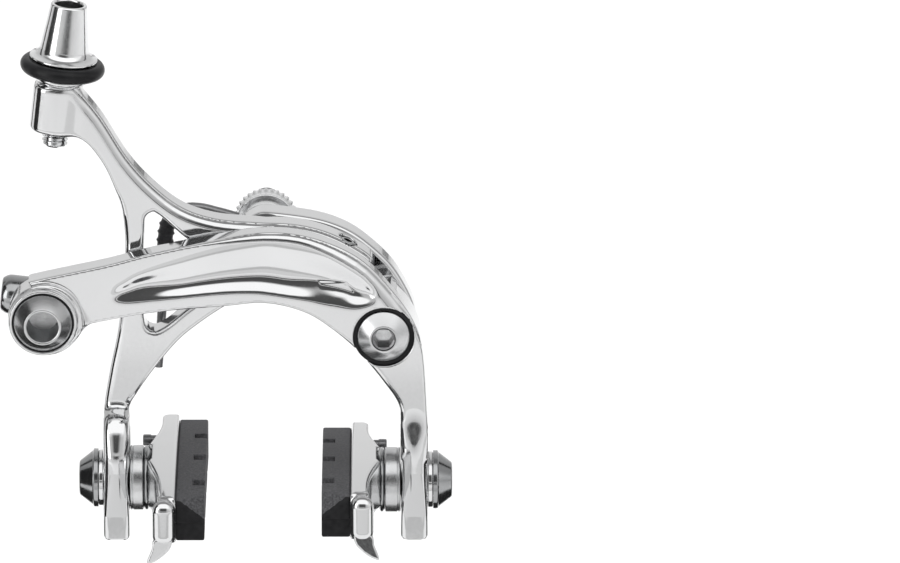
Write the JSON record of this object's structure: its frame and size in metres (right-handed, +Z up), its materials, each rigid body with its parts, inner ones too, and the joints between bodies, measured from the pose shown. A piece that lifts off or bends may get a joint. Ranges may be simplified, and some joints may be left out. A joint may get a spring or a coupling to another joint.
{
  "type": "rim brake caliper",
  "caption": "Dual-pivot side-pull rim brake caliper: two polished forged arms on a bridge, barrel adjuster, cable clamp, and pads in holders for road bicycle wheels.",
  "frame": {"origin": "on the centre bolt's axis, at the face of the serrated washer that meets the fork or frame", "axes": "+Y points back along the centre bolt into the fork, +Z up away from the wheel, +X to the right seen from the front"},
  "size_m": [0.0872, 0.0559, 0.1056],
  "materials": {
    "polished_alloy": "mirror polished",
    "turned_alloy": "fine turned",
    "dark_steel": "satin",
    "polished_steel": "polished",
    "bearing_bronze": "satin",
    "black_rubber": "satin",
    "black_plastic": "matte",
    "pad_rubber": "matte, fine speckle"
  },
  "bodies": {
    "frame_side": {"centre_bolt": "dark_steel", "serrated_washer": "turned_alloy", "rear_spacer": "turned_alloy", "bridge": "polished_alloy", "centre_thrust_washer": "dark_steel", "centre_front_washer": "dark_steel", "side_pivot_bolt": "turned_alloy", "side_thrust_washer": "dark_steel", "return_spring": "dark_steel", "spring_sleeve": "black_plastic"},
    "rear_arm_body": {"rear_arm": "polished_alloy", "centre_bush": "bearing_bronze", "spring_peg": "dark_steel", "adjuster_seat": "polished_alloy"},
    "centring_screw_body": {"centring_screw": "dark_steel"},
    "adjuster_stage": {"adjuster_ring": "black_rubber"},
    "adjuster_body": {"adjuster_barrel": "polished_alloy"},
    "front_arm_body": {"front_arm": "polished_alloy", "side_bush": "bearing_bronze", "thrust_plate": "dark_steel"},
    "anchor_body": {"anchor_pin": "turned_alloy", "anchor_clip": "dark_steel", "clamp_block": "turned_alloy"},
    "clamp_stage": {"clamp_washer": "turned_alloy"},
    "clamp_bolt_body": {"clamp_bolt": "polished_steel"},
    "left_pad_stack": {"left_spacer_ring": "turned_alloy", "left_outer_washer": "polished_alloy", "left_cone_nut": "turned_alloy", "left_dished_washer": "turned_alloy"},
    "left_pad": {"left_pad_stud": "dark_steel", "left_pad_holder": "polished_alloy", "left_retention_screw": "dark_steel", "left_brake_pad": "pad_rubber"},
    "right_pad_stack": {"right_spacer_ring": "turned_alloy", "right_outer_washer": "polished_alloy", "right_cone_nut": "turned_alloy", "right_dished_washer": "turned_alloy"},
    "right_pad": {"right_pad_stud": "dark_steel", "right_pad_holder": "polished_alloy", "right_retention_screw": "dark_steel", "right_brake_pad": "pad_rubber"}
  },
  "joints": [
    {"name": "front_arm_swing", "type": "hinge", "parent": "frame_side", "child": "front_arm_body", "pos_m": [0.0227, -0.019, -0.0161], "axis": [0, 1, 0], "range_deg": [0, 15]},
    {"name": "rear_arm_swing", "type": "hinge", "parent": "frame_side", "child": "rear_arm_body", "pos_m": [0, -0.0165, 0], "axis": [0, -1, 0], "range_deg": [0, 10.5], "stiffness_Nm_per_rad": 0.5, "springref_deg": -17.19, "deforming": ["return_spring", "spring_sleeve"]},
    {"name": "adjuster_travel", "type": "slide", "parent": "rear_arm_body", "child": "adjuster_stage", "axis": [0.1132, 0, 0.9936], "range_m": [0, 0.0024]},
    {"name": "adjuster_turn", "type": "hinge", "parent": "adjuster_stage", "child": "adjuster_body", "pos_m": [-0.0403, -0.0165, 0.0201], "axis": [0.1132, 0, 0.9936], "range_deg": [0, 1080]},
    {"name": "cable_anchor_swivel", "type": "hinge", "parent": "front_arm_body", "child": "anchor_body", "pos_m": [-0.0425, -0.0235, -0.0121], "axis": [0, -1, 0], "range_deg": [-12, 12]},
    {"name": "clamp_travel", "type": "slide", "parent": "anchor_body", "child": "clamp_stage", "axis": [-0.9936, 0, 0.1132], "range_m": [0, 0.0016]},
    {"name": "clamp_bolt_turn", "type": "hinge", "parent": "clamp_stage", "child": "clamp_bolt_body", "pos_m": [-0.04249, -0.0129, -0.012], "axis": [-0.9936, 0, 0.1132], "range_deg": [0, 720]},
    {"name": "centring_screw_turn", "type": "hinge", "parent": "rear_arm_body", "child": "centring_screw_body", "pos_m": [0.0139, -0.0165, -0.0037], "axis": [0.4061, 0, 0.9138], "range_deg": [-90, 90]},
    {"name": "left_pad_height", "type": "slide", "parent": "rear_arm_body", "child": "left_pad_stack", "axis": [0, 0, 1], "range_m": [-0.0026, 0.0074]},
    {"name": "left_pad_pitch", "type": "hinge", "parent": "left_pad_stack", "child": "left_pad", "pos_m": [-0.022, -0.0195, -0.0464], "axis": [1, 0, 0], "range_deg": [-10, 10]},
    {"name": "right_pad_height", "type": "slide", "parent": "front_arm_body", "child": "right_pad_stack", "axis": [0, 0, 1], "range_m": [-0.0021, 0.0079]},
    {"name": "right_pad_pitch", "type": "hinge", "parent": "right_pad_stack", "child": "right_pad", "pos_m": [0.022, -0.0195, -0.0469], "axis": [-1, 0, 0], "range_deg": [-10, 10]}
  ],
  "couplings": [
    {"joint": "rear_arm_swing", "follows": "front_arm_swing", "ratio": 0.7},
    {"joint": "adjuster_turn", "follows": "adjuster_travel", "rad_per_m": 7853.9},
    {"joint": "clamp_bolt_turn", "follows": "clamp_travel", "rad_per_m": 7853.9}
  ]
}
